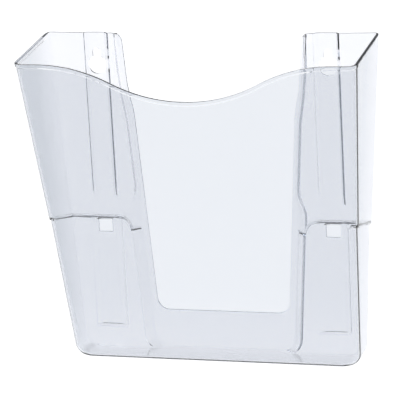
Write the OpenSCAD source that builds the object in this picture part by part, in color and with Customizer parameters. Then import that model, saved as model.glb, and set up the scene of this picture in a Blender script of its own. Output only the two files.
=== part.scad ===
// Clear wall-hung magazine pocket: an open-topped, tapering moulded bin with a scooped front,
// two keyhole flanges at the back and a lower half that steps in so that pockets nest.
// The wall is the plane y = 0, the front faces -Y, and the origin lies on the wall
// half way between the two keyhole centres.

/* [Pocket] */
// Width over the side walls at the top edge
top_w = 330; // [300:1:360]
// Height of the back, from the underside of the floor to the top edge
back_h = 318; // [300:1:340]
// Depth from the wall to the front face at the top
top_d = 102; // [96:1:112]
// Depth from the wall to the front face at the floor
floor_d = 42; // [38:1:50]
// Thickness of the moulded walls
wall = 2.5; // [2:0.1:3]
// Inward lean of the side walls above the ledge, in degrees
upper_taper = 4.1; // [3.6:0.1:4.6]
// Inward lean of the side walls below the ledge, in degrees
lower_taper = 3.1; // [2.6:0.1:3.6]
// Outer radius of the upright front corners
corner_r = 9; // [6:0.5:11]
// Outer radius where the side walls turn into the floor
floor_r = 12; // [8:1:13]

/* [Rim] */
// Height of the front rim beside its corners
shoulder_h = 306.5; // [300:0.5:309]
// Radius of each arc of the scooped front rim
scoop_r = 150; // [140:1:160]
// Depth of the scoop below the rim's shoulders
scoop_drop = 36; // [28:1:42]
// Height of the thickened bead along the rim
bead_h = 3.5; // [3:0.5:5]
// How far the bead stands out from the wall
bead_out = 0.8; // [0.4:0.1:1]

/* [Hanging flanges] */
// Distance between the two keyhole centres
keyhole_pitch = 230; // [224:1:234]
// Height of the keyhole centres above the underside of the floor
keyhole_h = 286; // [280:1:290]
// Radius of the round end of a keyhole, which passes a screw head
keyhole_r = 9; // [7:0.5:9]
// Width of the narrow slot of a keyhole, which holds the screw
slot_w = 8; // [5:0.5:8]
// Rise of the slot's end above the keyhole centre
slot_rise = 12.5; // [11:0.5:13]
// Width of the flat floor of the keyhole channel
channel_w = 19.5; // [19:0.5:20]
// How far the strip beside the channel stands forward of its floor
rib_step = 4; // [3:0.5:5]
// How far the outer strip stands forward where it meets the channel
outer_step = 2.5; // [2:0.5:3]
// Width of the flat edge band along each flange
band_w = 8.5; // [7:0.5:9]
// Radius of the flanges' inner top corners
flange_r = 10; // [8:1:11]

/* [Lower half] */
// Height of the ledge on the back
ledge_h = 136; // [130:1:142]
// Rise of the ledge along the side walls, from the back to the front
ledge_rise = 13; // [10:1:16]
// Forward step of the back below the ledge
nest_step = 4; // [3:0.5:5]
// Inward step of the side walls below the ledge
side_step = 1.2; // [0.8:0.1:1.5]
// Height of the bar under the big opening in the back
bar_h = 40; // [34:1:46]
// Height of the lower end of the linking slots
slot_foot = 24; // [18:1:30]
// Height of the square window at the head of each linking slot
window_h = 13; // [10:1:15]
// Radius of the lower corners of the big opening in the back
bar_r = 12; // [8:1:14]

/* [Hidden] */

clear = [0.86, 0.90, 0.95, 0.55];
pale = [0.78, 0.84, 0.92, 0.75];
far = 400;

half_top = top_w / 2;
half_ledge = half_top - (back_h - ledge_h) * tan(upper_taper);
half_floor = half_ledge - side_step - ledge_h * tan(lower_taper);
lean = (top_d - floor_d) / shoulder_h;
lean_angle = atan(lean);
rim_fall = (back_h - shoulder_h) / top_d;
scoop_angle = acos(1 - scoop_drop / (2 * scoop_r));
bend_x = scoop_r * sin(scoop_angle);
bend_z = shoulder_h - scoop_drop / 2;
channel_x = keyhole_pitch / 2;
channel_in = channel_x - channel_w / 2;
channel_out = channel_x + channel_w / 2;
strip_x = channel_in - 8.5;
outer_x = channel_out + 5;
edge_x = 72;
edge_lean = 4;
web_w = 8;
low_strip = nest_step + rib_step;
low_outer = nest_step + outer_step;
low_channel = nest_step;
window_w = 14;
strip_bend = 3;

// Half width of the outside at height z, above or below the ledge
function half_w(z, upper) = upper ? half_top - (back_h - z) * tan(upper_taper)
    : half_floor + z * tan(lower_taper);
// Distance of the front face from the wall at height z
function front_y(z) = floor_d + lean * z;
// Height of the ledge at a distance d from the wall
function ledge_z(d) = ledge_h + ledge_rise * d / front_y(ledge_h);
// Half width of the leaning flange edge at height z
function edge_at(z) = edge_x + z * tan(edge_lean);

// Stands a flat (x, z) outline up and carries it forward from the wall
module forward(depth = far) rotate([90, 0, 0]) linear_extrude(depth) children();
// Stands a flat (y, z) outline up and carries it across the pocket
module across(width = 2 * far) translate([-width / 2, 0, 0]) rotate([90, 0, 90]) linear_extrude(width)
    children();

// The front view of the outside, drawn in by a wall thickness and rounded at the floor
module front_outline(inset, upper) {
    t = upper ? upper_taper : lower_taper;
    shift = inset / cos(t);
    r = floor_r - inset;
    foot = half_w(0, upper) - shift;
    difference() {
        polygon([[-foot - inset * tan(t), inset], [foot + inset * tan(t), inset],
            [half_w(far, upper) - shift, far], [-half_w(far, upper) + shift, far]]);
        if (!upper) for (s = [-1, 1]) translate([s * (foot + (inset + r) * tan(t) - r / cos(t)), inset + r])
            difference() {
                polygon([[0, 0], [s * 2 * r, 0], [s * 2 * r, -r - 1], [0, -r - 1]]);
                circle(r, $fn = 72);
            }
    }
}
// The side view of the outside, drawn in by a wall thickness
module side_outline(inset) {
    shift = inset / cos(lean_angle);
    polygon([[10, inset], [-front_y(inset) + shift, inset], [-front_y(far) + shift, far], [10, far]]);
}
// The waste outside one rounded upright front corner; the corner leans both ways
module corner_waste(r, upper) {
    t = upper ? upper_taper : lower_taper;
    tilt = atan(cos(t) * lean);
    sx = sin(t) * sin(lean_angle);
    translate([half_w(0, upper) - corner_r / cos(t), -floor_d + corner_r / cos(lean_angle), 0])
        rotate([tilt, t, 0]) translate([0, 0, -50]) linear_extrude(far + 50) difference() {
            polygon([[0, 0], [2 * corner_r, 0], [2 * corner_r, -2 * corner_r],
                2 * corner_r * [sx, -sqrt(1 - sx * sx)]]);
            circle(r, $fn = 72);
        }
}
module bin_solid(inset, upper) {
    difference() {
        intersection() {
            translate([0, 10, 0]) forward() front_outline(inset, upper);
            across() side_outline(inset);
        }
        for (m = [0, 1]) mirror([m, 0, 0]) corner_waste(corner_r - inset, upper);
    }
}
// The moulded skin of one half, open at the back and the top
module skin(upper) difference() {
    bin_solid(0, upper);
    bin_solid(wall, upper);
}
// Side view regions: behind the corner, in front of it, above and below the sloping ledge
module above_ledge() across() polygon([[20, ledge_z(-20)], [-far, ledge_z(far)], [-far, far], [20, far]]);
module below_ledge() across() polygon([[20, ledge_z(-20)], [-far, ledge_z(far)], [-far, -1], [20, -1]]);
module below_rim(drop = 0) across() polygon([[20, back_h + 20 * rim_fall - drop],
    [-far, back_h - far * rim_fall - drop], [-far, -1], [20, -1]]);
function corner_y(z) = -front_y(z) + corner_r / cos(lean_angle);
module behind_corner(back = 0) across()
    polygon([[-back, -1], [corner_y(-1), -1], [corner_y(far), far], [-back, far]]);
module before_corner() across()
    polygon([[-far, -1], [corner_y(-1), -1], [corner_y(far), far], [-far, far]]);
// Front view region between the two upright corners
module between_corners(upper) translate([0, 20, 0]) forward() polygon([
    for (p = [[-1, -1], [1, -1], [1, far], [-1, far]])
        [p[0] * (half_w(p[1], upper) - corner_r / cos(upper ? upper_taper : lower_taper)), p[1]]]);
module right_of_corner(upper, r) translate([0, 20, 0]) forward() polygon([
    [half_w(-1, upper) - r, -1], [far, -1], [far, far], [half_w(far, upper) - r, far]]);

// What the scooped rim takes away, in the front view, lowered by drop
module scoop_cut(drop = 0) translate([0, -drop]) {
    intersection() {
        translate([0, shoulder_h - scoop_drop + scoop_r]) circle(scoop_r, $fn = 180);
        translate([-bend_x, 0]) square([2 * bend_x, 2 * far]);
    }
    for (m = [0, 1]) mirror([m, 0]) difference() {
        translate([bend_x - 0.01, bend_z - 1]) square([far, far]);
        translate([2 * bend_x, shoulder_h - scoop_r]) circle(scoop_r, $fn = 180);
        translate([2 * bend_x, 0]) square([far, shoulder_h]);
    }
}
module below_scoop(drop = 0) difference() {
    translate([0, 20, 0]) forward() translate([-far / 2, -1]) square([far, far]);
    translate([0, 21, 0]) forward(far + 2) scoop_cut(drop);
}

module front_panel() color(clear) intersection() {
    union() {
        intersection() {
            skin(true);
            above_ledge();
            between_corners(true);
        }
        intersection() {
            skin(false);
            below_ledge();
            between_corners(false);
        }
    }
    before_corner();
    below_scoop(bead_h);
}
// The skin of the upper half, standing out by the bead
module bead_skin() difference() {
    bin_solid(-bead_out, true);
    bin_solid(wall, true);
}
module front_rim() color(pale) intersection() {
    bead_skin();
    before_corner();
    between_corners(true);
    below_scoop();
    translate([0, 20, 0]) forward() scoop_cut(bead_h);
}
// A side rim follows the sloping top edge and turns round the front corner
module side_rim() intersection() {
    bead_skin();
    difference() {
        below_rim();
        below_rim(bead_h);
    }
    right_of_corner(true, corner_r / cos(upper_taper));
    translate([0, -far, -1]) cube(far);
}
module right_rim() color(pale) side_rim();
module left_rim() color(pale) mirror([1, 0, 0]) side_rim();

module right_corner() intersection() {
    union() {
        intersection() {
            skin(true);
            above_ledge();
            below_rim(bead_h);
            right_of_corner(true, corner_r / cos(upper_taper));
        }
        intersection() {
            skin(false);
            below_ledge();
            right_of_corner(false, corner_r / cos(lower_taper));
        }
    }
    before_corner();
}
module right_front_corner() color(clear) right_corner();
module left_front_corner() color(clear) mirror([1, 0, 0]) right_corner();

module right_upper_wall() intersection() {
    skin(true);
    above_ledge();
    below_rim(bead_h);
    right_of_corner(true, floor_r);
    behind_corner();
}
module right_upper_side() color(clear) right_upper_wall();
module left_upper_side() color(clear) mirror([1, 0, 0]) right_upper_wall();

module right_lower_wall() intersection() {
    skin(false);
    below_ledge();
    right_of_corner(false, floor_r);
    behind_corner(nest_step);
}
module right_lower_side() color(clear) right_lower_wall();
module left_lower_side() color(clear) mirror([1, 0, 0]) right_lower_wall();

// Plan of the lower half's back faces on the right, from the middle bar to beyond the side wall
low_back = [[edge_x, 0], [edge_x + web_w, -low_strip], [strip_x, -low_strip], [channel_in, -low_strip],
    [outer_x, -low_outer], [half_top, -nest_step]];
module floor_plate() color(clear) intersection() {
    skin(false);
    translate([0, 20, 0]) forward() polygon([for (p = [[-1, -1], [1, -1], [1, far], [-1, far]])
        [p[0] * (half_w(p[1], false) - floor_r), p[1]]]);
    behind_corner();
    translate([0, 0, -1]) linear_extrude(floor_r) polygon(concat(low_back, [[half_top, -far],
        [-half_top, -far]], [for (i = [len(low_back) - 1:-1:0]) [-low_back[i][0], low_back[i][1]]]));
}

// Region inside the side walls, above or below the ledge
module inside_sides(upper) translate([0, 20, 0]) forward()
    polygon([for (p = [[-1, -1], [1, -1], [1, back_h], [-1, back_h]])
        [p[0] * (half_w(p[1], upper) - wall / cos(upper ? upper_taper : lower_taper)), p[1]]]);
// A bent plate of the wall's thickness whose back face passes through the plan points pts
module bent_plate(pts, z0, z1) {
    n = len(pts) - 1;
    translate([0, 0, z0]) linear_extrude(z1 - z0)
        polygon(concat(pts, [for (i = [n:-1:0]) pts[i] - [0, wall]]));
}

module outer_strip() intersection() {
    bent_plate([[half_top, 0], [outer_x, -outer_step]], ledge_h, back_h);
    inside_sides(true);
}
module right_outer_strip() color(clear) outer_strip();
module left_outer_strip() color(clear) mirror([1, 0, 0]) outer_strip();

module keyhole_cut() translate([channel_x, 10, keyhole_h]) rotate([90, 0, 0]) {
    cylinder(r = keyhole_r, h = 30, $fn = 96);
    translate([0, slot_rise, 0]) cylinder(d = slot_w, h = 30, $fn = 64);
    translate([-slot_w / 2, 0, 0]) cube([slot_w, slot_rise, 30]);
}
module keyhole_channel() difference() {
    bent_plate([[outer_x, -outer_step], [channel_out, 0], [channel_in, 0], [strip_x, -rib_step]],
        ledge_h, back_h);
    keyhole_cut();
}
module right_keyhole_channel() color(pale) keyhole_channel();
module left_keyhole_channel() color(pale) mirror([1, 0, 0]) keyhole_channel();

// Front view of a flange's inner side, with its rounded top corner
module flange_outline() difference() {
    polygon([[edge_at(0) - band_w, 0], [outer_x, 0], [outer_x, back_h], [edge_at(back_h) - band_w, back_h]]);
    translate([edge_at(back_h) - band_w + flange_r, back_h - flange_r]) difference() {
        translate([-flange_r - 2, 0]) square([flange_r + 2, flange_r + 1]);
        circle(flange_r, $fn = 72);
    }
}
// Carries a plan outline up along the leaning line where the right flange starts
module along_edge() translate([edge_x, 0, 0]) rotate([0, edge_lean, 0])
    linear_extrude(2 * far, center = true) children();
module inner_strip() intersection() {
    forward() flange_outline();
    translate([0, -far, ledge_h]) cube([strip_x, 2 * far, far]);
    along_edge() polygon([[0, 0], [strip_bend, -rib_step], [outer_x, -rib_step],
        [outer_x, -rib_step - wall], [strip_bend, -rib_step - wall], [0, -wall]]);
}
module right_inner_strip() color(clear) inner_strip();
module left_inner_strip() color(clear) mirror([1, 0, 0]) inner_strip();

module edge_band() intersection() {
    forward(wall) flange_outline();
    forward(wall) polygon([[edge_at(bar_h) - band_w - 1, bar_h], [edge_at(bar_h), bar_h],
        [edge_at(back_h), back_h], [edge_at(back_h) - band_w - 1, back_h]]);
}
module right_edge_band() color(pale) edge_band();
module left_edge_band() color(pale) mirror([1, 0, 0]) edge_band();

// The leaning line where the lower half's panels turn back to the wall
function web_at(z) = edge_at(z) + web_w / cos(edge_lean);
module ledge_plate() intersection() {
    e = edge_at(ledge_h);
    translate([0, 0, ledge_h - wall]) linear_extrude(wall) polygon([[half_top, 0], [outer_x, -outer_step],
        [channel_out, 0], [channel_in, 0], [strip_x, -rib_step], [e + strip_bend, -rib_step], [e, 0],
        [e, -wall], [e + web_w, -low_strip - wall], [strip_x, -low_strip - wall],
        [channel_in, -low_channel - wall], [channel_out, -low_channel - wall],
        [outer_x, -low_outer - wall], [half_top, -nest_step - wall]]);
    inside_sides(false);
}
module right_ledge() color(pale) ledge_plate();
module left_ledge() color(pale) mirror([1, 0, 0]) ledge_plate();

module nest_panel() difference() {
    intersection() {
        bent_plate([[half_top, -nest_step], [outer_x, -low_outer], [channel_in, -low_strip],
            [strip_x, -low_strip], [edge_x, -low_strip]], wall, ledge_h - wall);
        translate([0, 20, 0]) forward() polygon([[web_at(0), 0], [far, 0], [far, far], [web_at(far), far]]);
        bin_solid(wall, false);
    }
    translate([strip_x, -far, slot_foot]) cube([outer_x - strip_x, 2 * far, far]);
}
module right_nest_panel() color(clear) nest_panel();
module left_nest_panel() color(clear) mirror([1, 0, 0]) nest_panel();

module link_slot() difference() {
    union() {
        bent_plate([[outer_x, -low_outer], [channel_out, -low_channel], [channel_in, -low_channel],
            [strip_x, -low_strip]], slot_foot, ledge_h - wall);
        translate([0, 0, slot_foot]) linear_extrude(wall) polygon([[outer_x, -low_outer],
            [channel_out, -low_channel], [channel_in, -low_channel], [strip_x, -low_strip],
            [strip_x, -low_strip - wall], [channel_in, -low_strip - wall], [outer_x, -low_outer - wall]]);
    }
    translate([channel_x - window_w / 2, -60, ledge_h - wall - window_h]) cube([window_w, 80, far]);
}
module right_link_slot() color(pale) link_slot();
module left_link_slot() color(pale) mirror([1, 0, 0]) link_slot();

// The slanted web that carries the lower panels back to the wall beside the opening
module web() intersection() {
    along_edge() polygon([[0, 0], [web_w, -low_strip], [web_w, -low_strip - wall], [0, -wall]]);
    translate([0, 0, wall]) forward() square([far, ledge_h - 2 * wall]);
}
module right_web() color(pale) web();
module left_web() color(pale) mirror([1, 0, 0]) web();

// The bar under the opening in the back, with a fillet up each flange's edge band
module lower_bar() color(clear) forward(wall) {
    cz = bar_h + bar_r;
    cx = edge_at(cz) - band_w - bar_r / cos(edge_lean);
    polygon([[-edge_at(wall), wall], [edge_at(wall), wall],
        [edge_at(bar_h), bar_h], [-edge_at(bar_h), bar_h]]);
    for (m = [0, 1]) mirror([m, 0]) difference() {
        polygon([[cx, bar_h - 1], [edge_at(bar_h - 1) - band_w, bar_h - 1],
            [cx + bar_r * cos(edge_lean), cz - bar_r * sin(edge_lean)], [cx, cz]]);
        translate([cx, cz]) circle(bar_r, $fn = 72);
    }
}

module placed() translate([0, 0, -keyhole_h]) children();
placed() front_panel();
placed() front_rim();
placed() left_rim();
placed() right_rim();
placed() left_front_corner();
placed() right_front_corner();
placed() left_upper_side();
placed() right_upper_side();
placed() left_lower_side();
placed() right_lower_side();
placed() floor_plate();
placed() left_outer_strip();
placed() right_outer_strip();
placed() left_keyhole_channel();
placed() right_keyhole_channel();
placed() left_inner_strip();
placed() right_inner_strip();
placed() left_edge_band();
placed() right_edge_band();
placed() left_ledge();
placed() right_ledge();
placed() left_nest_panel();
placed() right_nest_panel();
placed() left_link_slot();
placed() right_link_slot();
placed() left_web();
placed() right_web();
placed() lower_bar();
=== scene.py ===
"""Clear wall-hung magazine rack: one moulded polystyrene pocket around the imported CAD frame."""

import logging
import math
from dataclasses import dataclass, field
from enum import Enum
from typing import Callable, Sequence

import bmesh
import bpy
from mathutils import Matrix, Vector

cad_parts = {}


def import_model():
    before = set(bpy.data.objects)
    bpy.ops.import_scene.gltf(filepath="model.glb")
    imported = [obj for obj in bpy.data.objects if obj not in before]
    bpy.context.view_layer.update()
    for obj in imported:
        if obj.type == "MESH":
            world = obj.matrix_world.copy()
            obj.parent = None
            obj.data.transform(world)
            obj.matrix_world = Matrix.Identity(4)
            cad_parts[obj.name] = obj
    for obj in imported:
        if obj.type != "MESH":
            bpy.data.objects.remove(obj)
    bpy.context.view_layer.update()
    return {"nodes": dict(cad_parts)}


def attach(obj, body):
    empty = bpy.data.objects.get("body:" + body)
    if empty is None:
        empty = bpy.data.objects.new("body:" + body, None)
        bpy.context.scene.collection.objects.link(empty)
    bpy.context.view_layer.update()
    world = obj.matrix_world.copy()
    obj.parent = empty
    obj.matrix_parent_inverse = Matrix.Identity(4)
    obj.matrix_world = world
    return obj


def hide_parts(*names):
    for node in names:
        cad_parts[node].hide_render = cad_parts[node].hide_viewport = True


LOG = logging.getLogger("magazine_rack")
MM = 0.001
Plan = tuple[float, float]


def mix(a: float, b: float, t: float) -> float:
    """Returns the value a fraction t of the way from a to b."""
    return a + (b - a) * t


def ease(low: float, high: float, value: float) -> float:
    """Rises smoothly from 0 at low to 1 at high.

    Args:
        low: Where the rise starts.
        high: Where the rise ends.
        value: Where to read it.

    Returns:
        The eased fraction, from 0 to 1.
    """
    t = min(1.0, max(0.0, (value - low) / (high - low)))
    return t * t * (3.0 - 2.0 * t)


def linear_from_hex(code: str) -> tuple[float, float, float, float]:
    """Turns an sRGB hex colour into the linear colour that shaders take.

    Args:
        code: Six hex digits after a hash.

    Returns:
        Red, green, blue and an alpha of one.
    """
    parts = [int(code[i:i + 2], 16) / 255.0 for i in (1, 3, 5)]
    red, green, blue = (p / 12.92 if p <= 0.04045 else ((p + 0.055) / 1.055) ** 2.4 for p in parts)
    return red, green, blue, 1.0


def add_node(tree: bpy.types.NodeTree, kind: str, values: dict[str | int, object] | None = None,
             links: dict[str | int, bpy.types.NodeSocket] | None = None,
             **settings: object) -> bpy.types.Node:
    """Adds one shader node with its settings, socket values and incoming links.

    Args:
        tree: The node tree to add to.
        kind: The node's type name.
        values: Socket name or number to constant value.
        links: Socket name or number to the output that feeds it.
        **settings: Properties of the node itself.

    Returns:
        The new node.
    """
    node = tree.nodes.new(kind)
    for name, value in settings.items():
        setattr(node, name, value)
    for name, value in (values or {}).items():
        node.inputs[name].default_value = value
    for name, output in (links or {}).items():
        tree.links.new(output, node.inputs[name])
    return node


def quarter_turn(radius: float, below: float) -> float:
    """How far a quarter round has drawn in, a distance below where it starts.

    Args:
        radius: The round's radius.
        below: Distance below its start; nothing is drawn in at or above the start.

    Returns:
        The distance drawn in.
    """
    if below <= 0.0:
        return 0.0
    return radius - math.sqrt(max(0.0, radius ** 2 - min(below, radius) ** 2))


class Skin(Enum):
    """The two faces of the moulded wall."""

    OUTER = "outer"
    LINING = "lining"


@dataclass(frozen=True)
class ClearPolystyrene:
    """Injection-moulded clear polystyrene: bright and glassy, slate blue where light runs along a wall.

    Attributes:
        name: The material's name.
        tint: What one pass through the clear back leaves of white light.
        front_painted_shade: The same for the front wall, painted one tone greyer as shade.
        back_at: Distance from the wall, in mm, up to which the plastic is at its clearest, with no painted
            shade.
        front_at: Distance from the wall, in mm, from which the painted shade is at its greyest.
        depth_tint: Colour that a long way through the plastic takes on.
        depth_mm: How long that way is.
        ior: Index of refraction of polystyrene.
        roughness: Roughness of the polished mould's surface.
        flow_wave_mm: Length of the swells that the melt leaves.
        flow_height: Strength of those swells.
        flow_depth_mm: Depth that a swell of full strength would have.
        lamp_tint: What lamps' light keeps on its way through.
        bounces: How many turns light makes inside the wall before it leaves.
    """

    name: str = "clear_polystyrene_moulded"
    tint: str = "#F8F8FA"
    front_painted_shade: str = "#E4E6E9"
    back_at: float = 10.0
    front_at: float = 55.0
    depth_tint: str = "#778599"
    depth_mm: float = 25.0
    ior: float = 1.59
    roughness: float = 0.02
    flow_wave_mm: float = 60.0
    flow_height: float = 0.02
    flow_depth_mm: float = 1.0
    lamp_tint: str = "#F4F6F8"
    bounces: float = 6.5

    def make(self) -> bpy.types.Material:
        """Makes the material.

        Returns:
            The material, with flow waves from the mould fill in its surface and its colour in its depth.
        """
        material = bpy.data.materials.new(self.name)
        material.use_nodes = True
        tree = material.node_tree
        tree.nodes.clear()
        place = add_node(tree, "ShaderNodeTexCoord").outputs["Object"]
        # Slow swells that the melt leaves as it fills the mould: they bend what is seen through a flat wall
        waves = add_node(tree, "ShaderNodeTexNoise", {"Scale": 1.0 / (self.flow_wave_mm * MM), "Detail": 1.0},
                         {"Vector": place})
        bump = add_node(tree, "ShaderNodeBump",
                        {"Strength": self.flow_height, "Distance": self.flow_depth_mm * MM},
                        {"Height": waves.outputs["Fac"]})
        # Painted shade: the front wall's colour is painted a little greyer than the flanges, growing from the
        # wall out to the front, so that the two stand apart in tone
        out_from_wall = add_node(tree, "ShaderNodeSeparateXYZ", links={"Vector": place}).outputs["Y"]
        painted_shade_share = add_node(tree, "ShaderNodeMapRange",
                            {"From Min": -self.back_at * MM, "From Max": -self.front_at * MM},
                            {"Value": out_from_wall})
        shade = add_node(tree, "ShaderNodeValToRGB", links={"Fac": painted_shade_share.outputs["Result"]})
        shade.color_ramp.elements[0].color = linear_from_hex(self.tint)
        # The ramp's far end is the front wall's painted shade
        shade.color_ramp.elements[1].color = linear_from_hex(self.front_painted_shade)
        body = add_node(tree, "ShaderNodeBsdfPrincipled",
                        {"IOR": self.ior, "Roughness": self.roughness, "Transmission Weight": 1.0},
                        {"Normal": bump.outputs["Normal"], "Base Color": shade.outputs["Color"]})
        # Lamps shine through, as they do through real clear plastic, and light that has run a long way inside
        # the wall leaves it, so edges don't turn black
        clear = add_node(tree, "ShaderNodeBsdfTransparent", {"Color": linear_from_hex(self.lamp_tint)})
        path = add_node(tree, "ShaderNodeLightPath")
        spent = add_node(tree, "ShaderNodeMath", {1: self.bounces}, {0: path.outputs["Ray Depth"]},
                         operation="GREATER_THAN")
        through = add_node(tree, "ShaderNodeMath", operation="MAXIMUM",
                           links={0: path.outputs["Is Shadow Ray"], 1: spent.outputs[0]})
        both = add_node(tree, "ShaderNodeMixShader",
                        links={0: through.outputs[0], 1: body.outputs[0], 2: clear.outputs[0]})
        soaked = add_node(tree, "ShaderNodeVolumeAbsorption",
                          {"Color": linear_from_hex(self.depth_tint), "Density": 1.0 / (self.depth_mm * MM)})
        add_node(tree, "ShaderNodeOutputMaterial",
                 links={"Surface": both.outputs[0], "Volume": soaked.outputs[0]})
        return material


@dataclass(frozen=True)
class StudioPaper:
    """Matt white paper sweep that lies far under the rack and glows evenly, as lit paper does."""

    name: str = "studio_paper_matt"
    colour: str = "#F2F2F2"
    lamp_colour: str = "#FFFFFF"
    glow: float = 0.91
    roughness: float = 0.9
    grain_per_m: float = 900.0
    grain_height: float = 0.05
    grain_depth_mm: float = 0.5

    def make(self) -> bpy.types.Material:
        """Makes the material of the floor.

        Returns:
            The material, which gives a faint fibre and an even glow.
        """
        material = bpy.data.materials.new(self.name)
        material.use_nodes = True
        tree = material.node_tree
        tree.nodes.clear()
        place = add_node(tree, "ShaderNodeTexCoord").outputs["Object"]
        # Paper fibres, drawn coarser than they are so that they don't vanish altogether
        grain = add_node(tree, "ShaderNodeTexNoise", {"Scale": self.grain_per_m, "Detail": 2.0},
                         {"Vector": place})
        bump = add_node(tree, "ShaderNodeBump",
                        {"Strength": self.grain_height, "Distance": self.grain_depth_mm * MM},
                        {"Height": grain.outputs["Fac"]})
        paper = add_node(tree, "ShaderNodeBsdfPrincipled",
                         {"Base Color": linear_from_hex(self.colour), "Roughness": self.roughness,
                          "Emission Color": linear_from_hex(self.lamp_colour),
                          "Emission Strength": self.glow},
                         {"Normal": bump.outputs["Normal"]})
        add_node(tree, "ShaderNodeOutputMaterial", links={"Surface": paper.outputs[0]})
        return material


@dataclass(frozen=True)
class PocketSizes:
    """The pocket's sizes in mm and radians, with heights counted from the floor's underside.

    The outside sizes, the ledge and the keyholes are the CAD frame's. Steps and bends are drawn inside
    its box.
    """

    # The cup: widths and depths outside, the lean of its walls and its rounds
    top_w: float = 330.0
    back_h: float = 318.0
    top_d: float = 102.0
    floor_d: float = 42.0
    wall: float = 2.5
    upper_taper: float = math.radians(4.1)
    lower_taper: float = math.radians(3.1)
    corner_r: float = 9.0
    floor_r: float = 12.0
    heel_r: float = 4.0
    # The front rim: two shoulders, a scoop between them and a bead all the way round
    shoulder_h: float = 306.5
    scoop_r: float = 150.0
    scoop_drop: float = 36.0
    bead_h: float = 3.5
    bead_out: float = 0.8
    # The keyholes, each with a slot above
    keyhole_pitch: float = 230.0
    keyhole_h: float = 286.0
    keyhole_r: float = 9.0
    slot_w: float = 8.0
    slot_rise: float = 12.5
    # Across one hanging flange, as half widths: the channel, its steps and the raised strips
    channel_in: float = 105.25
    channel_out: float = 124.75
    strip_x: float = 96.75
    outer_x: float = 129.75
    edge_x: float = 72.0
    edge_lean: float = math.radians(4.0)
    rib_step: float = 4.0
    outer_step: float = 2.5
    strip_least: float = 1.2
    outer_least: float = 3.0
    channel_least: float = 5.0
    # The flange's flat edge, which is narrower above the front
    band_w: float = 8.5
    top_band_w: float = 5.0
    band_shift: float = 3.5
    band_from: float = 235.0
    band_to: float = 270.0
    channel_side: float = 3.8
    outer_side: float = 2.0
    flange_r: float = 10.0
    tongue_r: float = 15.0
    # The rib beside the flat edge, and the wider web that it becomes below the ledge
    rib_w: float = 3.0
    rib_fade_from: float = 138.0
    rib_fade_to: float = 165.0
    web_w: float = 7.6
    web_gain: float = 1.1
    web_foot_run: float = 30.0
    # The ledge and the lower half's steps inwards and away from the wall
    ledge_h: float = 136.0
    ledge_rise: float = 13.0
    ledge_turn: float = 12.0
    nest_step: float = 4.0
    side_step: float = 1.2
    shelf_climb: float = 1.2
    side_shelf_climb: float = 0.5
    # The bar under the big opening, the linking slots and their windows
    bar_h: float = 40.0
    bar_r: float = 12.0
    slot_foot: float = 24.0
    slot_foot_below: float = 2.0
    slot_foot_above: float = 0.5
    slot_lip: float = 0.3
    window_w: float = 14.0
    window_h: float = 13.0
    window_drop: float = 0.9
    # Lines across half of the front
    front_lines: int = 26

    @property
    def lean(self) -> float:
        """How far the front moves out for each mm of height."""
        return (self.top_d - self.floor_d) / self.shoulder_h

    @property
    def half_ledge(self) -> float:
        """Half width over the side walls just above the ledge."""
        return self.top_w / 2 - (self.back_h - self.ledge_h) * math.tan(self.upper_taper)

    def half_w(self, z: float, half: float, inner: bool = False) -> float:
        """Half width over the side walls.

        Args:
            z: Height above the floor's underside.
            half: 0 in the lower half, 1 in the upper half, or between on the ledge.
            inner: Whether the turn into the floor is the lining's, which is tighter.

        Returns:
            The half width in mm.
        """
        upper = self.top_w / 2 - (self.back_h - z) * math.tan(self.upper_taper)
        lower = self.half_ledge - self.side_step - (self.ledge_h - z) * math.tan(self.lower_taper)
        radius = self.floor_r - self.wall if inner else self.floor_r
        return mix(lower, upper, half) - quarter_turn(radius, self.floor_r - z)

    def heel(self, z: float, inner: bool) -> float:
        """How far the front and the back draw in at height z, where they turn into the floor."""
        return quarter_turn(self.heel_r - self.wall if inner else self.heel_r, self.heel_r - z)

    def front_y(self, z: float) -> float:
        """Distance of the front face from the wall at height z."""
        return self.floor_d + self.lean * z

    def edge_at(self, z: float) -> float:
        """Half width at the feet of the flanges' ribs at height z, rounded inwards near the floor."""
        return self.edge_x + z * math.tan(self.edge_lean) - quarter_turn(self.tongue_r, self.tongue_r - z)

    def web_foot(self, z: float, half: float, inner: bool) -> float:
        """Half width at the foot of the ribs.

        Args:
            z: Height above the floor's underside.
            half: 0 in the lower half, 1 in the upper half, or between on the ledge.
            inner: Whether it is the lining's foot, which lies nearer the middle, so the web is thick.

        Returns:
            The half width in mm.
        """
        near = ease(self.ledge_h, self.ledge_h + self.web_foot_run, z) - ease(self.band_from, self.band_to, z)
        return self.edge_at(z) - self.band_shift * near * half - (self.web_gain if inner else 0.0)

    def opening_at(self, z: float) -> float:
        """Half width of the big opening at height z, where the flanges' edge bands narrow above the front."""
        return self.edge_at(z) - mix(self.band_w, self.top_band_w, ease(self.band_from, self.band_to, z))

    def ledge_at(self, depth: float) -> float:
        """Height of the ledge at a distance from the wall."""
        return self.ledge_h + self.ledge_rise * depth / self.front_y(self.ledge_h)

    def scoop_at(self, x: float) -> float:
        """Height of the scooped front rim at a distance x from the middle.

        Args:
            x: Distance from the middle, on either side.

        Returns:
            The rim's height above the floor's underside, in mm.
        """
        turn = math.acos(1.0 - self.scoop_drop / (2.0 * self.scoop_r))
        bend = self.scoop_r * math.sin(turn)
        x = abs(x)
        if x < bend:
            return self.shoulder_h - self.scoop_drop + self.scoop_r - math.sqrt(self.scoop_r ** 2 - x * x)
        if x < 2.0 * bend:
            across = 2.0 * bend - x
            return self.shoulder_h - self.scoop_r + math.sqrt(self.scoop_r ** 2 - across * across)
        return self.shoulder_h


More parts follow.
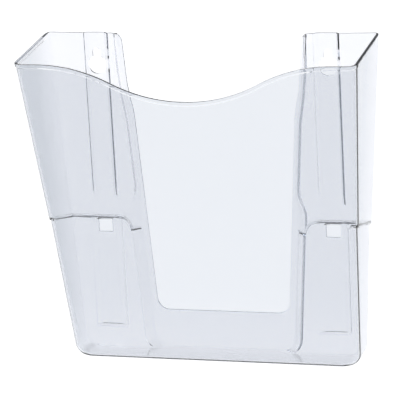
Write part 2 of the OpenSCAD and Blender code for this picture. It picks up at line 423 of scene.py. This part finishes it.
@dataclass(frozen=True)
class Station:
    """One upright line of the moulding.

    Attributes:
        plan: Takes height, half (0 lower, 1 upper) and whether it is the lining; returns x and the
            distance from the wall.
        ledge: Height of the ledge on this line.
        rim: Takes x and the distance from the wall, and returns the height of the rim.
        bead: How much of the rim bead this line carries.
        shelf: How far the ledge's underside climbs on this line, in mm, where its step is small or absent.
    """

    plan: Callable[[float, float, bool], Plan]
    ledge: float
    rim: Callable[[float, float], float]
    bead: float = 0.0
    shelf: float = 0.0


@dataclass
class MouldedPocket:
    """The whole rack: a cup of even wall thickness with its back opened between the two hanging flanges.

    Attributes:
        sizes: The pocket's sizes.
        foot_rows: Heights of the points in the turn into the floor, in mm.
        low_rows: Heights of the points between that turn and the ledge, in mm.
        high_rows: Places of the points between the ledge and the rim, as parts of the way up.
        ledge_gap: How far under and over the ledge the nearest points lie, in mm.
        bead_run: How far under the bead the last plain point lies, in mm.
        bead_turn: How far over the bead's foot it stands out in full, in mm.
        edge_round: Radius of the rim's and the openings' edges, in mm.
        weld: Distance below which points are joined, in mm.
        crease_from: The bend from which an edge shows as a line.
        cut_past: How far behind the wall's plane a cutter ends, in mm.
        cut_over: How far the big opening's cutter reaches over the back's top edge, in mm.
        back_cut: How far in front of the wall's plane the big opening's cutter starts, in mm.
        window_cut: The same for a window's cutter.
        keyhole_cut: The same for a keyhole's cutter.
        crisp_x: How far to either side of a keyhole's centre edges stay crisp, in mm.
        crisp_z: How far above and below a keyhole's centre edges stay crisp, in mm.
        round_from: The bend from which an edge is rounded.
    """

    sizes: PocketSizes = field(default_factory=PocketSizes)
    foot_rows: Sequence[float] = (0.0, 0.12, 0.45, 1.0, 1.7, 2.4, 3.2, 4.6, 6.4, 9.0, 12.0)
    low_rows: Sequence[float] = (17.0, 22.0, 24.5, 31.0, 40.0, 52.0, 66.0, 80.0, 95.0, 108.0, 116.0)
    high_rows: Sequence[float] = (0.05, 0.08, 0.11, 0.14, 0.17, 0.22, 0.3, 0.42, 0.56, 0.7, 0.85, 1.0)
    ledge_gap: float = 2.0
    bead_run: float = 1.0
    bead_turn: float = 0.4
    edge_round: float = 0.6
    weld: float = 0.01
    crease_from: float = math.radians(24)
    cut_past: float = 6.0
    cut_over: float = 30.0
    back_cut: float = 13.0
    window_cut: float = 14.0
    keyhole_cut: float = 5.0
    crisp_x: float = 10.0
    crisp_z: float = 18.0
    round_from: float = math.radians(60)

    def fade(self, z: float) -> float:
        """How much of the upper ribs stands at height z: they die away just above the ledge."""
        return ease(self.sizes.rib_fade_from, self.sizes.rib_fade_to, z)

    def back_stations(self) -> list[Station]:
        """Lines from the middle of the back to the right side wall.

        Returns:
            The lines, in order.
        """
        s = self.sizes

        def top(x: float, d: float) -> float:
            """The back's top edge is level."""
            return s.back_h

        def slot_out(z: float) -> float:
            """How far the slot's floor stands from the wall in the lower half."""
            deep = ease(s.slot_foot - s.slot_foot_below, s.slot_foot + s.slot_foot_above, z)
            return mix(s.nest_step + s.rib_step, s.nest_step, deep)

        def flat(part: float) -> Callable[[float, float, bool], Plan]:
            """A line on the wall's own plane, part of the way to the foot of the web."""
            return lambda z, half, inner: (s.web_foot(z, half, inner) * part, s.heel(z, inner))

        def strip(part: float) -> Callable[[float, float, bool], Plan]:
            """A line on the strip between the web and the channel, part of the way across.

            Args:
                part: 0 at the web, 1 at the channel.

            Returns:
                The line's plan.
            """
            def plan(z: float, half: float, inner: bool) -> Plan:
                """Places the line at one height.

                Args:
                    z: Height above the floor's underside.
                    half: 0 in the lower half, 1 in the upper half.
                    inner: Whether it is the lining's line.

                Returns:
                    x and the distance from the wall, in mm.
                """
                width = mix(s.web_w, mix(s.web_w, s.rib_w, self.fade(z)), half)
                start = min(s.web_foot(z, half, inner) + width, s.strip_x - s.strip_least)
                out = mix(s.nest_step + s.rib_step, s.rib_step * mix(1.0, self.fade(z), part), half)
                end = mix(s.strip_x, s.channel_in - s.channel_side, half)
                return mix(start, end, part), out + s.heel(z, inner)
            return plan

        def outer(part: float) -> Callable[[float, float, bool], Plan]:
            """A line on the outer strip, part of the way from the channel to the side wall.

            Args:
                part: 0 at the channel, 1 at the side wall.

            Returns:
                The line's plan.
            """
            def plan(z: float, half: float, inner: bool) -> Plan:
                """Places the line at one height.

                Args:
                    z: Height above the floor's underside.
                    half: 0 in the lower half, 1 in the upper half.
                    inner: Whether it is the lining's line.

                Returns:
                    x and the distance from the wall, in mm.
                """
                step = s.outer_step * (1 - part)
                out = mix(s.nest_step + step, step * self.fade(z), half)
                end = s.half_w(z, half, inner) - s.heel_r
                start = mix(s.outer_x, s.channel_out + s.outer_side, half)
                return mix(min(start, end - s.outer_least), end, part), out + s.heel(z, inner)
            return plan

        def channel(x: float, limit: float) -> Callable[[float, float, bool], Plan]:
            """A line on one side of the channel's floor.

            Args:
                x: Half width at the line.
                limit: The furthest that the line may stand from the wall, in mm.

            Returns:
                The line's plan.
            """
            def plan(z: float, half: float, inner: bool) -> Plan:
                """Places the line at one height.

                Args:
                    z: Height above the floor's underside.
                    half: 0 in the lower half, 1 in the upper half.
                    inner: Whether it is the lining's line.

                Returns:
                    x and the distance from the wall, in mm.
                """
                x_here = min(x, s.half_w(z, half, inner) - s.heel_r - s.channel_least)
                return x_here, mix(min(slot_out(z), limit), 0.0, half) + s.heel(z, inner)
            return plan

        low = s.ledge_h - s.ledge_turn
        lines = [Station(flat(part), low, top, 0.0, s.shelf_climb) for part in (0.0, 0.4, 0.8, 1.0)]
        for k in range(6):
            turn = math.radians(18.0 * k)
            ledge = s.ledge_h - s.ledge_turn * (1 - math.sin(turn))
            lines.append(Station(strip(1 - math.cos(turn)), ledge, top, 0.0, s.shelf_climb * (1 - k / 5)))
        lines.append(Station(channel(s.channel_in, s.nest_step + s.rib_step), s.ledge_h, top))
        lip = s.nest_step + s.outer_step + s.slot_lip
        lines.append(Station(channel(s.channel_out, lip), s.ledge_h, top))
        return [*lines, *(Station(outer(k / 3), s.ledge_h, top) for k in range(4))]

    def side_stations(self) -> list[Station]:
        """Lines round the back corner, along the side wall and round the front corner.

        Returns:
            The lines, in order.
        """
        s = self.sizes
        lean_angle = math.atan(s.lean)

        def rim(x: float, d: float) -> float:
            """Height of the side rim, which falls towards the front."""
            return s.back_h - (s.back_h - s.shoulder_h) * min(1.0, d / s.top_d)

        def back_corner(angle: float) -> Callable[[float, float, bool], Plan]:
            """A line on the small round between the back and the side wall.

            Args:
                angle: How far round it is, in radians.

            Returns:
                The line's plan.
            """
            def plan(z: float, half: float, inner: bool) -> Plan:
                """Places the line at one height.

                Args:
                    z: Height above the floor's underside.
                    half: 0 in the lower half, 1 in the upper half.
                    inner: Whether it is the lining's line.

                Returns:
                    x and the distance from the wall, in mm.
                """
                back = mix(s.nest_step, 0.0, half) + s.heel(z, inner)
                return (s.half_w(z, half, inner) - s.heel_r * (1 - math.sin(angle)),
                        back + s.heel_r * (1 - math.cos(angle)))
            return plan

        def side(part: float) -> Callable[[float, float, bool], Plan]:
            """A line on the side wall, part of the way to the front corner.

            Args:
                part: 0 at the back, 1 at the front corner.

            Returns:
                The line's plan.
            """
            def plan(z: float, half: float, inner: bool) -> Plan:
                """Places the line at one height.

                Args:
                    z: Height above the floor's underside.
                    half: 0 in the lower half, 1 in the upper half.
                    inner: Whether it is the lining's line.

                Returns:
                    x and the distance from the wall, in mm.
                """
                back = mix(s.nest_step, 0.0, half) + s.heel_r + s.heel(z, inner)
                front = s.front_y(z) - s.corner_r / math.cos(lean_angle) - s.heel(z, inner)
                return s.half_w(z, half, inner), mix(back, front, part)
            return plan

        def corner(angle: float) -> Callable[[float, float, bool], Plan]:
            """A line on the rounded front corner.

            Args:
                angle: How far round it is, in radians.

            Returns:
                The line's plan.
            """
            def plan(z: float, half: float, inner: bool) -> Plan:
                """Places the line at one height.

                Args:
                    z: Height above the floor's underside.
                    half: 0 in the lower half, 1 in the upper half.
                    inner: Whether it is the lining's line.

                Returns:
                    x and the distance from the wall, in mm.
                """
                taper = mix(s.lower_taper, s.upper_taper, half)
                x = s.half_w(z, half, inner) - s.corner_r / math.cos(taper) * (1 - math.cos(angle))
                return x, (s.front_y(z) - s.heel(z, inner)
                           - s.corner_r / math.cos(lean_angle) * (1 - math.sin(angle)))
            return plan

        lines = [Station(back_corner(math.radians(30 * k)), s.ledge_h, rim) for k in (1, 2, 3)]
        for part in (0.04, 0.15, 0.3, 0.45, 0.6, 0.75, 0.88, 1.0):
            depth = part * (s.front_y(s.ledge_h) - s.corner_r)
            lines.append(Station(side(part), s.ledge_at(depth), rim, 1.0, s.side_shelf_climb))
        for k in range(1, 9):
            turn = math.radians(90.0 * k / 8)
            depth = s.front_y(s.ledge_h) - s.corner_r * (1 - math.sin(turn))
            climb = mix(s.side_shelf_climb, s.shelf_climb, k / 8)
            lines.append(Station(corner(turn), s.ledge_at(depth), rim, 1.0, climb))
        return lines

    def front_stations(self) -> list[Station]:
        """Lines across the right half of the front, ending at the middle.

        Returns:
            The lines, in order.
        """
        s = self.sizes

        def front(part: float) -> Callable[[float, float, bool], Plan]:
            """A line on the front wall, part of the way from the corner to the middle.

            Args:
                part: 0 at the corner, 1 in the middle.

            Returns:
                The line's plan.
            """
            def plan(z: float, half: float, inner: bool) -> Plan:
                """Places the line at one height.

                Args:
                    z: Height above the floor's underside.
                    half: 0 in the lower half, 1 in the upper half.
                    inner: Whether it is the lining's line.

                Returns:
                    x and the distance from the wall, in mm.
                """
                taper = mix(s.lower_taper, s.upper_taper, half)
                edge = s.half_w(z, half, inner) - s.corner_r / math.cos(taper)
                return edge * (1 - part), s.front_y(z) - s.heel(z, inner)
            return plan

        ledge = s.ledge_at(s.front_y(s.ledge_h))
        return [Station(front(k / s.front_lines), ledge, lambda x, d: s.scoop_at(x), 1.0, s.shelf_climb)
                for k in range(1, s.front_lines + 1)]

    def rows(self, station: Station) -> list[tuple[float, float, float, float]]:
        """Places every point up one line.

        Args:
            station: The line.

        Returns:
            For each point its height outside, its height on the lining, its half, and its share of bead.
        """
        s = self.sizes
        squeeze = (s.floor_r - s.wall) / s.floor_r
        out = [(z, s.wall + z * squeeze, 0.0, 0.0) for z in self.foot_rows]
        out += [(z, z, 0.0, 0.0) for z in self.low_rows]
        under = station.ledge - s.wall
        low, clear = under - self.ledge_gap, station.ledge + self.ledge_gap
        out += [(low, low, 0.0, 0.0), (under, station.ledge, 0.0, 0.0),
                (under + station.shelf, station.ledge + station.shelf, 1.0, 0.0), (clear, clear, 1.0, 0.0)]
        rim = s.back_h
        for _ in range(4):
            rim = station.rim(*station.plan(rim, 1.0, False))
        foot = rim - s.bead_h - self.bead_run
        out += [(z, z, 1.0, 0.0) for z in (mix(clear, foot, part) for part in self.high_rows)]
        bead = rim - s.bead_h + self.bead_turn
        return [*out, (bead, bead, 1.0, station.bead), (rim, rim, 1.0, station.bead)]

    def skin(self, face: Skin) -> tuple[list[Vector], int]:
        """Works out every point of one face of the wall, line by line round the pocket.

        Args:
            face: The outer skin or the lining.

        Returns:
            The points in metres in the row frame, and the number of points per line.
        """
        s = self.sizes
        inner = face is Skin.LINING
        right = [*self.back_stations(), *self.side_stations(), *self.front_stations()]
        last = len(right) - 1

        def plan_of(i: int, z: float, half: float) -> Vector:
            """A line's plan point; the lines beyond either middle are mirrored.

            Args:
                i: The line, counted from the middle of the back.
                z: Height above the floor's underside.
                half: 0 in the lower half, 1 in the upper half.

            Returns:
                The point in mm.
            """
            sign = -1.0 if i < 0 or i > last else 1.0
            i = -i if i < 0 else 2 * last - i if i > last else i
            x, out = right[i].plan(z, half, inner)
            return Vector((sign * x, -out))

        laid = []
        for i, station in enumerate(right):
            line = []
            for z_out, z_in, half, share in self.rows(station):
                z = z_in if inner else z_out
                here = plan_of(i, z, half)
                before, after = here - plan_of(i - 1, z, half), plan_of(i + 1, z, half) - here
                n1 = Vector((-before.y, before.x)).normalized()
                n2 = Vector((-after.y, after.x)).normalized()
                outward = (n1 + n2) / max(0.4, 1.0 + n1.dot(n2))
                here = here + outward * (-s.wall if inner else s.bead_out * share)
                line.append(Vector((here.x, here.y, z - s.keyhole_h)) * MM)
            laid.append(line)
        mirrored = [[Vector((-p.x, p.y, p.z)) for p in line] for line in reversed(laid[1:-1])]
        return [p for line in [*laid, *mirrored] for p in line], len(laid[0])

    def cup(self) -> bpy.types.Object:
        """Builds the closed cup with its full wall thickness.

        Returns:
            The cup, still without its openings.
        """
        outer, rows = self.skin(Skin.OUTER)
        lining, _ = self.skin(Skin.LINING)
        lines = len(outer) // rows
        faces = []
        for base, turned in ((0, False), (len(outer), True)):
            for i in range(lines):
                a, b = base + i * rows, base + (i + 1) % lines * rows
                quads = [(a + j, b + j, b + j + 1, a + j + 1) for j in range(rows - 1)]
                faces += [tuple(reversed(q)) for q in quads] if turned else quads
            foot = [base + i * rows for i in range(lines)]
            faces.append(tuple(foot if turned else reversed(foot)))
        for i in range(lines):
            a, b = i * rows + rows - 1, (i + 1) % lines * rows + rows - 1
            faces.append((a, b, b + len(outer), a + len(outer)))
        mesh = bpy.data.meshes.new("pocket_moulding")
        mesh.from_pydata([*outer, *lining], [], faces)
        piece = bpy.data.objects.new("pocket_moulding", mesh)
        bpy.context.scene.collection.objects.link(piece)
        work = bmesh.new()
        work.from_mesh(mesh)
        bmesh.ops.recalc_face_normals(work, faces=work.faces)
        bmesh.ops.triangulate(work, faces=[f for f in work.faces if len(f.verts) > 4])
        work.to_mesh(mesh)
        work.free()
        return piece

    def cutter(self, name: str, outline: Sequence[Plan], near: float) -> bpy.types.Object:
        """Makes a prism that cuts an opening through the back.

        Args:
            name: The cutter's name.
            outline: Its x and height points in mm.
            near: Where it starts, in mm in front of the wall.

        Returns:
            The cutter, which is removed once it has cut.
        """
        work = bmesh.new()
        rings = [[work.verts.new(Vector((x, y, z - self.sizes.keyhole_h)) * MM) for x, z in outline]
                 for y in (-near, self.cut_past)]
        n = len(outline)
        for i in range(n):
            work.faces.new((rings[0][i], rings[0][(i + 1) % n], rings[1][(i + 1) % n], rings[1][i]))
        work.faces.new(rings[0])
        work.faces.new(list(reversed(rings[1])))
        bmesh.ops.recalc_face_normals(work, faces=work.faces)
        mesh = bpy.data.meshes.new(name)
        work.to_mesh(mesh)
        work.free()
        piece = bpy.data.objects.new(name, mesh)
        bpy.context.scene.collection.objects.link(piece)
        return piece

    def back_opening(self) -> list[Plan]:
        """Outline of the big opening: filleted below, and turned outwards over each flange's top corner.

        Returns:
            Its x and height points in mm.
        """
        s = self.sizes
        foot_z = s.bar_h + s.bar_r
        foot_x = s.opening_at(foot_z) - s.bar_r
        right = [(foot_x + s.bar_r * math.sin(a), foot_z - s.bar_r * math.cos(a))
                 for a in (math.radians(9 * k) for k in range(11))]
        top_z = s.back_h - s.flange_r
        top_x = s.opening_at(top_z) + s.flange_r
        right += [(s.opening_at(z), z) for z in (mix(s.band_from, s.band_to, k / 8) for k in range(9))]
        right += [(top_x - s.flange_r * math.cos(a), top_z + s.flange_r * math.sin(a))
                  for a in (math.radians(9 * k) for k in range(11))]
        right.append((top_x, s.back_h + self.cut_over))
        return [*right, *((-x, z) for x, z in reversed(right))]

    def keyhole(self, side: float) -> list[Plan]:
        """Outline of one keyhole: a round hole with a narrow slot above it.

        Args:
            side: -1 for the left keyhole, 1 for the right.

        Returns:
            Its x and height points in mm.
        """
        s = self.sizes
        x0, half = side * s.keyhole_pitch / 2, s.slot_w / 2
        meet = math.acos(half / s.keyhole_r)
        start, end = math.pi - meet, 2 * math.pi + meet
        out = [(x0 + s.keyhole_r * math.cos(a), s.keyhole_h + s.keyhole_r * math.sin(a))
               for a in (mix(start, end, k / 40) for k in range(41))]
        out += [(x0 + half * math.cos(a), s.keyhole_h + s.slot_rise + half * math.sin(a))
                for a in (math.pi * k / 16 for k in range(17))]
        return out

    def window(self, side: float) -> list[Plan]:
        """Outline of the square window at the head of one linking slot.

        Args:
            side: -1 for the left slot, 1 for the right.

        Returns:
            Its x and height points in mm.
        """
        s = self.sizes
        x0, half = side * s.keyhole_pitch / 2, s.window_w / 2
        top = s.ledge_h - s.wall - s.window_drop
        foot = top - s.window_h
        return [(x0 - half, foot), (x0 + half, foot), (x0 + half, top), (x0 - half, top)]

    def carve(self, piece: bpy.types.Object, cuts: Sequence[bpy.types.Object]) -> None:
        """Cuts openings through the moulding and removes the cutters.

        Args:
            piece: The moulding.
            cuts: The cutters.
        """
        for cut in cuts:
            hole = piece.modifiers.new("opening", "BOOLEAN")
            hole.operation = "DIFFERENCE"
            hole.solver = "EXACT"
            hole.object = cut
        apply_modifiers(piece)
        for cut in cuts:
            bpy.data.objects.remove(cut)

    def is_rounded(self, edge: bmesh.types.BMEdge) -> bool:
        """Tells whether an edge is rounded: the keyholes stay crisp, and the foot has its own turn.

        Args:
            edge: An edge of the moulding.

        Returns:
            Whether it belongs to the rim or to another opening.
        """
        s = self.sizes
        if len(edge.link_faces) != 2 or edge.calc_face_angle(0.0) < self.round_from:
            return False
        by_keyhole = all(abs(abs(v.co.x) - s.keyhole_pitch / 2 * MM) < self.crisp_x * MM
                         and abs(v.co.z) < self.crisp_z * MM for v in edge.verts)
        return not by_keyhole and all(v.co.z > (s.slot_foot - s.keyhole_h) * MM for v in edge.verts)

    def soften(self, piece: bpy.types.Object) -> None:
        """Rounds the rim and the edges of the openings.

        Args:
            piece: The moulding.
        """
        work = bmesh.new()
        work.from_mesh(piece.data)
        bmesh.ops.bevel(work, geom=[e for e in work.edges if self.is_rounded(e)],
                        offset=self.edge_round * MM, offset_type="OFFSET", segments=2, profile=0.5,
                        affect="EDGES", clamp_overlap=False)
        bmesh.ops.remove_doubles(work, verts=work.verts, dist=self.weld * MM)
        bmesh.ops.dissolve_degenerate(work, edges=work.edges, dist=self.weld * MM)
        work.to_mesh(piece.data)
        work.free()

    def build(self, nodes: Sequence[str]) -> bpy.types.Object:
        """Builds the moulding, cuts its openings, softens its edges and dresses it.

        Args:
            nodes: The CAD nodes that it stands for.

        Returns:
            The finished piece.
        """
        piece = self.cup()
        cuts = [self.cutter("cut_back", self.back_opening(), self.back_cut)]
        for side in (-1.0, 1.0):
            cuts.append(self.cutter("cut_window", self.window(side), self.window_cut))
            cuts.append(self.cutter("cut_keyhole", self.keyhole(side), self.keyhole_cut))
        self.carve(piece, cuts)
        self.soften(piece)
        piece.data.shade_smooth()
        piece.data.set_sharp_from_angle(angle=self.crease_from)
        even = piece.modifiers.new("faces", "WEIGHTED_NORMAL")
        even.keep_sharp = True
        apply_modifiers(piece)
        piece.data.materials.clear()
        piece.data.materials.append(ClearPolystyrene().make())
        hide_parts(*nodes)
        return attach(piece, "root")


def apply_modifiers(piece: bpy.types.Object) -> None:
    """Makes a piece's modifiers part of its mesh.

    Args:
        piece: The piece to settle.
    """
    graph = bpy.context.evaluated_depsgraph_get()
    graph.update()
    settled = bpy.data.meshes.new_from_object(piece.evaluated_get(graph), depsgraph=graph)
    piece.modifiers.clear()
    piece.data = settled


@dataclass
class Studio:
    """The paper sweep, the soft light and the camera."""

    # The paper, in metres: how far under the keyholes it lies and how far it reaches
    drop: float = 1.1
    half_span: float = 14.0
    spokes: int = 64
    # The camera: the point it circles, its place round that point and how far to the side it aims
    target: Vector = field(default_factory=lambda: Vector((0.0, -0.050, -0.131)))
    azimuth: float = math.radians(16.8)
    elevation: float = math.radians(14.9)
    roll: float = math.radians(3.05)
    distance: float = 2.292
    lens: float = 216.6
    aim_right: float = -0.0042
    aim_up: float = 0.0099
    # The room's light, from its low part to its high part, and the soft light
    low_air: str = "#FFFFFF"
    low_air_top: float = 0.28
    high_air: str = "#464D58"
    high_air_foot: float = 0.45
    air_level: float = 1.3
    key_place: Vector = field(default_factory=lambda: Vector((-1.2, -1.4, 1.6)))
    key_size: float = 0.9
    key_watts: float = 12.0

    def floor(self) -> bpy.types.Object:
        """Builds the paper sweep far under the rack, which hangs clear of it.

        Returns:
            The floor.
        """
        work = bmesh.new()
        rings = []
        for k in range(5):
            radius = self.half_span * k / 4
            count = 1 if k == 0 else self.spokes
            rings.append([work.verts.new((radius * math.cos(2 * math.pi * i / count),
                                          radius * math.sin(2 * math.pi * i / count), -self.drop))
                          for i in range(count)])
        for inner, outer in zip(rings, rings[1:]):
            for i in range(self.spokes):
                j = (i + 1) % self.spokes
                if len(inner) == 1:
                    work.faces.new((inner[0], outer[i], outer[j]))
                else:
                    work.faces.new((inner[i], outer[i], outer[j], inner[j]))
        mesh = bpy.data.meshes.new("paper_sweep")
        work.to_mesh(mesh)
        work.free()
        floor = bpy.data.objects.new("paper_sweep", mesh)
        bpy.context.scene.collection.objects.link(floor)
        mesh.materials.append(StudioPaper().make())
        return floor

    def softbox(self, name: str, place: Vector, size: float, watts: float) -> bpy.types.Object:
        """Hangs one soft square light that faces the rack.

        Args:
            name: The light's name.
            place: Where it hangs, in metres.
            size: The side of the square, in metres.
            watts: Its power.

        Returns:
            The light.
        """
        lamp = bpy.data.lights.new(name, "AREA")
        lamp.size = size
        lamp.energy = watts
        light = bpy.data.objects.new(name, lamp)
        light.location = place
        light.rotation_mode = "QUATERNION"
        light.rotation_quaternion = (self.target - place).to_track_quat("-Z", "Y")
        bpy.context.scene.collection.objects.link(light)
        return light

    def air(self) -> None:
        """Fills the room with soft light: white low down, and slate above, which darkens edges."""
        world = bpy.data.worlds.new("studio_air")
        bpy.context.scene.world = world
        world.use_nodes = True
        tree = world.node_tree
        tree.nodes.clear()
        aim = add_node(tree, "ShaderNodeTexCoord").outputs["Generated"]
        height = add_node(tree, "ShaderNodeSeparateXYZ", links={"Vector": aim}).outputs["Z"]
        ramp = add_node(tree, "ShaderNodeValToRGB", links={"Fac": height})
        low, high = ramp.color_ramp.elements
        low.position, low.color = self.low_air_top, linear_from_hex(self.low_air)
        high.position, high.color = self.high_air_foot, linear_from_hex(self.high_air)
        back = add_node(tree, "ShaderNodeBackground", {"Strength": self.air_level},
                        {"Color": ramp.outputs["Color"]})
        add_node(tree, "ShaderNodeOutputWorld", links={"Surface": back.outputs[0]})

    def camera(self) -> bpy.types.Object:
        """Sets the camera up and makes it the scene's own.

        Returns:
            The camera.
        """
        back = Vector((math.sin(self.azimuth) * math.cos(self.elevation),
                       -math.cos(self.azimuth) * math.cos(self.elevation), math.sin(self.elevation)))
        right = Vector((math.cos(self.azimuth), math.sin(self.azimuth), 0.0))
        up = back.cross(right)
        rolled_right = right * math.cos(self.roll) - up * math.sin(self.roll)
        rolled_up = right * math.sin(self.roll) + up * math.cos(self.roll)
        place = self.target + back * self.distance
        aim = self.target + rolled_right * self.aim_right + rolled_up * self.aim_up
        axis_z = (place - aim).normalized()
        axis_x = rolled_up.cross(axis_z).normalized()
        axis_y = axis_z.cross(axis_x)
        data = bpy.data.cameras.new("camera")
        data.lens = self.lens
        data.sensor_width = 36.0
        data.clip_start, data.clip_end = 0.1, 60.0
        cam = bpy.data.objects.new("camera", data)
        cam.matrix_world = Matrix.Translation(place) @ Matrix((axis_x, axis_y, axis_z)).transposed().to_4x4()
        bpy.context.scene.collection.objects.link(cam)
        bpy.context.scene.camera = cam
        return cam

    def build(self) -> None:
        """Builds the whole studio."""
        self.camera()
        self.floor()
        self.air()
        self.softbox("key_softbox", self.key_place, self.key_size, self.key_watts)
        view = bpy.context.scene.view_settings
        view.view_transform = "Standard"


def main() -> None:
    """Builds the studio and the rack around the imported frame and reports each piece."""
    logging.basicConfig(level=logging.INFO, format="%(name)s: %(message)s")
    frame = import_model()
    Studio().build()
    pocket = MouldedPocket().build(sorted(frame["nodes"]))
    LOG.info("%s: %d faces", pocket.name, len(pocket.data.polygons))


if __name__ == "__main__":
    main()
